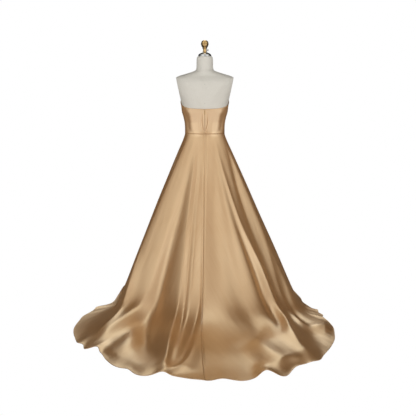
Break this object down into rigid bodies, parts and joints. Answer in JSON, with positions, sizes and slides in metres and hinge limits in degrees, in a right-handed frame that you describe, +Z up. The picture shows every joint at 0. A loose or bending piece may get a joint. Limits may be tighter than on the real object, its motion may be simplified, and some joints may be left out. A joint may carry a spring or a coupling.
{
  "type": "a-line evening gown on a limbless dress form",
  "caption": "Strapless floor-length satin gown with fitted bodice, flared skirt and chapel train, worn by a limbless dress form on a round stand.",
  "frame": {"origin": "centre of the stand's base where it stands on the floor, on the dress form's axis", "axes": "+Z up; the gown's front faces -Y and its train runs to +Y; the wearer's left is +X"},
  "size_m": [1.5192, 1.8295, 1.6861],
  "materials": {
    "gold_satin": "heavy duchess satin, champagne gold, smooth with a soft sheen",
    "zip_enamel": "enamel dyed to the satin's colour",
    "form_canvas": "grey-beige cotton canvas stretched over a padded shell",
    "cap_chrome": "polished",
    "finial_brass": "polished, aged gold",
    "screw_steel": "plain",
    "base_iron": "black, satin"
  },
  "bodies": {
    "gown_on_form": {"bodice_front": "gold_satin", "bodice_back_left": "gold_satin", "bodice_back_right": "gold_satin", "skirt_front": "gold_satin", "skirt_back_left": "gold_satin", "skirt_back_right": "gold_satin", "zip_slider": "zip_enamel", "form_torso": "form_canvas", "neck_cap": "cap_chrome", "stand_pole": "screw_steel", "stand_base": "base_iron"},
    "pull_tab": {"zip_pull": "zip_enamel"},
    "finial": {"finial": "finial_brass"},
    "set_screw": {"finial_screw": "screw_steel"}
  },
  "joints": [
    {"name": "pull_tab_swing", "type": "hinge", "parent": "gown_on_form", "child": "pull_tab", "pos_m": [0, 0.103, 1.244], "axis": [1, 0, 0], "range_deg": [0, 150]},
    {"name": "finial_turn", "type": "hinge", "parent": "gown_on_form", "child": "finial", "pos_m": [0, 0.0015, 1.62], "axis": [0, 0, 1], "continuous": true},
    {"name": "set_screw_turn", "type": "hinge", "parent": "finial", "child": "set_screw", "pos_m": [-0.0115, 0.0015, 1.6236], "axis": [1, 0, 0], "continuous": true}
  ]
}
